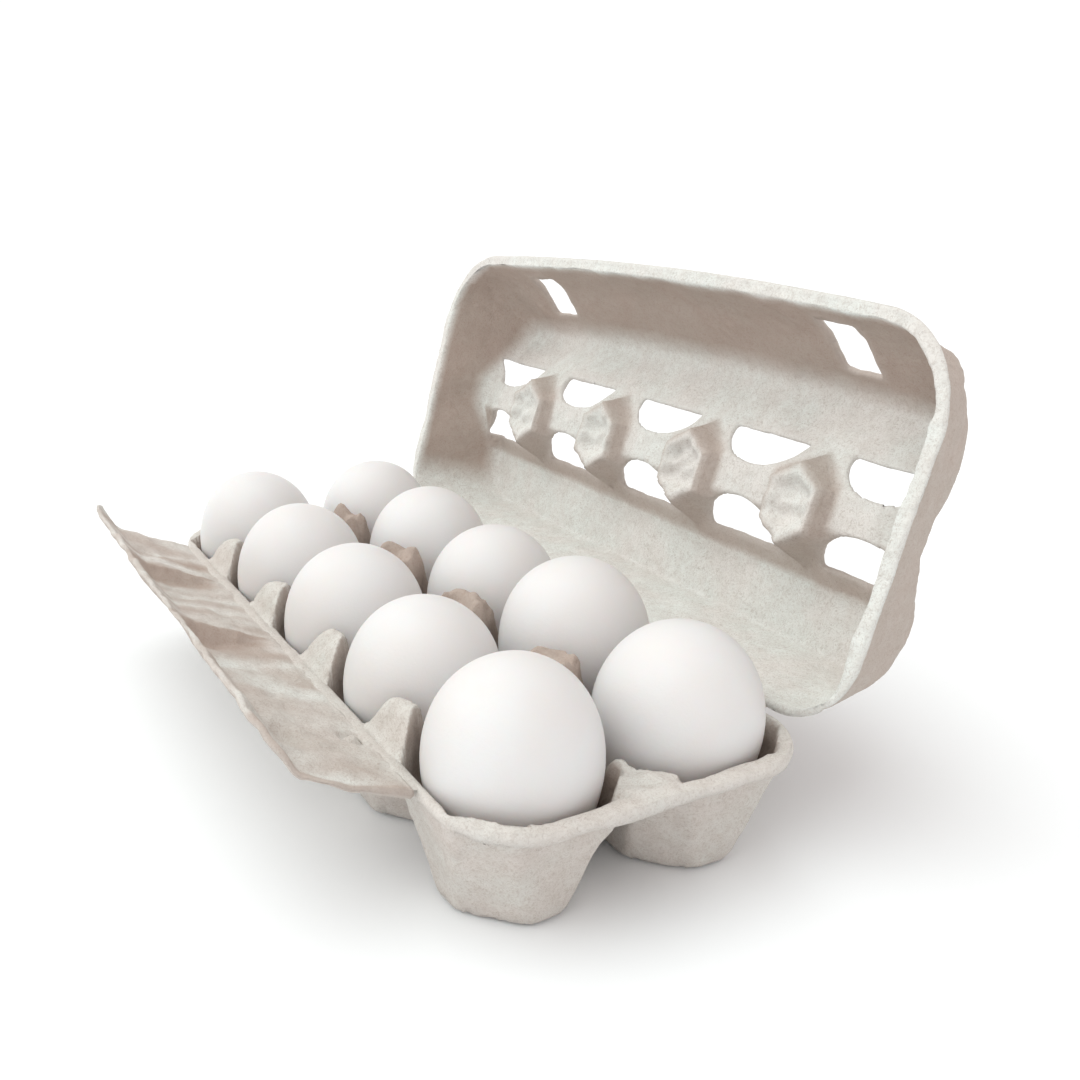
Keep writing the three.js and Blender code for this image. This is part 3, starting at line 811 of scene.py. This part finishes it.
# ------------------------------------------------------------------ pulp hinges
def make_hinge(name, half, path, thickness, seed):
    """A thin strip of pulp that bends where two parts are joined: a path of points in the
    Y-Z plane run along X. Its two skins stand off the path by half the thickness times the
    square root of sin(pi s), with s from 0 to 1 along it, and close in the last 3 mm of X."""
    path_y, path_z, middle = path
    lines = np.linspace(-half, half, 161) + middle
    y, z = np.array(path_y, float), np.array(path_z, float)
    knots = np.linspace(0, 1, len(y))
    s = np.linspace(0, 1, 21)
    y, z = soften_line(np.interp(s, knots, y)), soften_line(np.interp(s, knots, z))
    run = np.hypot(np.gradient(y), np.gradient(z))
    normal = np.stack([-np.gradient(z) / run, np.gradient(y) / run], -1)
    swell = thickness * np.sqrt(np.clip(np.sin(s * math.pi), 0, 1))
    x, _ = np.meshgrid(lines, s, indexing="ij")
    ends = np.sqrt(np.clip((half - np.abs(x - middle)) / 3, 0, 1))
    skins = []
    for side in (0.5, -0.5):
        py = y + side * swell * normal[:, 0] * ends
        pz = z + side * swell * normal[:, 1] * ends
        skin = np.stack([x, py, pz], -1)
        rough = (0.1 * waves(skin, 9, seed) + 0.08 * waves(skin, 3, seed + 1)) * ends
        skin[..., 2] += rough * np.sin(s * math.pi)
        skins.append(skin)
    nx = len(lines)
    ring = np.concatenate([skins[0], skins[1][:, -2:0:-1]], 1)
    around = ring.shape[1]
    i, j = (g.ravel() for g in np.meshgrid(np.arange(nx - 1), np.arange(around), indexing="ij"))
    after = (j + 1) % around
    faces = np.stack([i * around + j, i * around + after, (i + 1) * around + after,
                      (i + 1) * around + j], 1)
    points = ring.reshape(-1, 3) * MM
    part = np.full(len(points), 0.35)
    strip = mesh_object(name, points, faces, PULP_LOOK, fray=part, brown=part)
    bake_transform(strip)


def soften_line(values):
    """Averages a run of numbers with their neighbours, keeping the two ends."""
    for _ in range(4):
        values = np.concatenate([
            values[:1], (values[:-2] + 2 * values[1:-1] + values[2:]) / 4, values[-1:],
        ])
    return values


def make_hinges():
    """The strips of pulp across the lid's fold and the flap's, each bent between its bodies."""
    lid_y, lid_z = HINGE_Y, HINGE_Z
    path = ([lid_y - 2.4, lid_y - 0.9, lid_y + 0.2, lid_y + 0.9, lid_y + 1.5],
            [lid_z - 1.2, lid_z - 0.9, lid_z - 0.5, lid_z + 0.4, lid_z + 1.9], 0)
    make_hinge("lid_hinge_pulp", LID_STRIP_HALF, path, LID_STRIP,
               120)
    slope = math.tan(FLAP_TILT)
    path = ([FOLD_Y + 2.6, FOLD_Y + 1.4, FOLD_Y + 0.3, FOLD_Y - 1.2, FOLD_Y - 2.6],
            [FOLD_Z - 0.9, FOLD_Z - 0.3, FOLD_Z - 0.1, FOLD_Z + 1.2 * slope - 0.3,
             FOLD_Z + 2.6 * slope - 1.0],
            FLAP_AT)
    make_hinge("flap_hinge_pulp", FLAP_STRIP_HALF, path, FLAP_STRIP,
               130)


# ------------------------------------------------------------------ eggs
def make_egg(name, x, y, foot, width, height, seed):
    """A turned profile, blunt end up: across = w/2 sin t (1 - blunt cos t), up = h/2 (1 - cos t),
    with t from 0 at the foot to pi, and a faint unevenness."""
    t = np.linspace(0, math.pi, 49)[1:-1]
    turn = np.arange(96) * 2 * math.pi / 96
    across = width / 2 * np.sin(t) * (1 - EGG_BLUNT * np.cos(t))
    ring = np.stack([
        x + across[:, None] * np.cos(turn),
        y + across[:, None] * np.sin(turn),
        np.repeat((foot + height / 2 * (1 - np.cos(t)))[:, None], len(turn), 1),
    ], -1)
    poles = np.array([[x, y, foot], [x, y, foot + height]], float)
    points = np.concatenate([ring.reshape(-1, 3), poles])
    centre = np.array([x, y, foot + height / 2])
    outward = points - centre
    outward /= np.linalg.norm(outward, axis=1, keepdims=True)
    points = points + outward * (0.07 * waves(points, 30, seed) - 0.05)[:, None]
    rings, n = len(t), len(turn)
    k = np.arange(n)
    after = (k + 1) % n
    base = (np.arange(rings - 1) * n)[:, None]
    quads = np.stack([base + k, base + after, base + n + after, base + n + k], -1)
    foot_fan = np.stack([np.full(n, rings * n), after, k], 1)
    last = (rings - 1) * n
    top_fan = np.stack([last + k, last + after, np.full(n, rings * n + 1)], 1)
    mesh = bpy.data.meshes.new(name)
    faces = quads.reshape(-1, 4).tolist() + foot_fan.tolist() + top_fan.tolist()
    mesh.from_pydata((points * MM).tolist(), [], faces)
    mesh.polygons.foreach_set("use_smooth", np.ones(len(mesh.polygons), bool))
    mesh.materials.append(EGG_LOOK)
    egg = bpy.data.objects.new(name, mesh)
    bpy.context.scene.collection.objects.link(egg)
    return egg


def make_eggs():
    """Two rows of eggs, each standing in its cup and a little different from the next."""
    for row, (label, side) in enumerate((("front", -1), ("back", 1))):
        for k, x in enumerate(CUP_CENTRES):
            growth = EGG_GROWTH[row][k]
            foot = EGG_FOOT + EGG_SEAT[row][k]
            name = f"egg_{label}_{k + 1}"
            egg = make_egg(
                f"{name}_shell", x, side * ROW + SET_BACK, foot,
                EGG_WIDTH + 0.4 * growth, EGG_HEIGHT + growth, 200 + 10 * row + k,
            )
            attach(egg, "tray_with_eggs")
            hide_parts(name)


# ------------------------------------------------------------------ setting
def make_floor():
    """One wide square under the tray."""
    mesh = bpy.data.meshes.new("floor")
    size = FLOOR_HALF
    corners = [(-size, -size, 0), (size, -size, 0), (size, size, 0), (-size, size, 0)]
    mesh.from_pydata(corners, [], [(0, 1, 2, 3)])
    mesh.materials.append(floor_material())
    floor = bpy.data.objects.new("floor", mesh)
    bpy.context.scene.collection.objects.link(floor)


def make_light():
    """A plain room, white round the horizon and dimmer overhead, and one wide soft light from
    above the flap's far side."""
    world = bpy.data.worlds.new("studio")
    world.use_nodes = True
    nodes, links = world.node_tree.nodes, world.node_tree.links
    background = nodes["Background"]
    where = nodes.new("ShaderNodeTexCoord")
    split = nodes.new("ShaderNodeSeparateXYZ")
    ramp = nodes.new("ShaderNodeValToRGB")
    links.new(where.outputs["Generated"], split.inputs[0])
    links.new(split.outputs["Z"], ramp.inputs["Fac"])
    links.new(ramp.outputs["Color"], background.inputs["Color"])
    ramp.color_ramp.interpolation = "EASE"
    ramp.color_ramp.elements[0].position = 0.3
    ramp.color_ramp.elements[0].color = (1.05, 1.03, 1.02, 1)
    ramp.color_ramp.elements[1].position = 0.6
    ramp.color_ramp.elements[1].color = (0.80, 0.755, 0.73, 1)
    bpy.context.scene.world = world
    data = bpy.data.lights.new("soft_light", "SUN")
    data.energy = LIGHT_POWER
    data.angle = LIGHT_SPREAD
    data.color = (0.93, 1.0, 0.985)
    lamp = bpy.data.objects.new("soft_light", data)
    heading = Vector(LIGHT_HEADING)
    lamp.rotation_euler = heading.to_track_quat("-Z", "Y").to_euler()
    bpy.context.scene.collection.objects.link(lamp)


def make_camera():
    """A camera given by its place from the tray's middle line, and by azimuth, elevation and
    roll in degrees."""
    azimuth, elevation, roll = (math.radians(a) for a in CAMERA_ANGLES)
    right = Vector((math.cos(azimuth), math.sin(azimuth), 0))
    back = Vector((
        math.sin(azimuth) * math.cos(elevation),
        -math.cos(azimuth) * math.cos(elevation),
        math.sin(elevation),
    ))
    up = back.cross(right)
    rolled = right * math.cos(roll) + up * math.sin(roll)
    upright = up * math.cos(roll) - right * math.sin(roll)
    x, y, z = CAMERA_AT
    place = Vector((x, y + SET_BACK * MM, z))
    data = bpy.data.cameras.new("camera")
    data.sensor_width = 36
    data.lens = CAMERA_LENS
    data.shift_x, data.shift_y = CAMERA_SHIFT
    data.clip_start = 0.01
    camera = bpy.data.objects.new("camera", data)
    axes = Matrix((rolled, upright, back)).transposed().to_4x4()
    camera.matrix_world = Matrix.Translation(place) @ axes
    bpy.context.scene.collection.objects.link(camera)
    bpy.context.scene.camera = camera


make_tray()
make_lid()
make_flap()
make_hinges()
make_eggs()
make_floor()
make_light()
make_camera()
bpy.context.scene.view_settings.view_transform = "Standard"
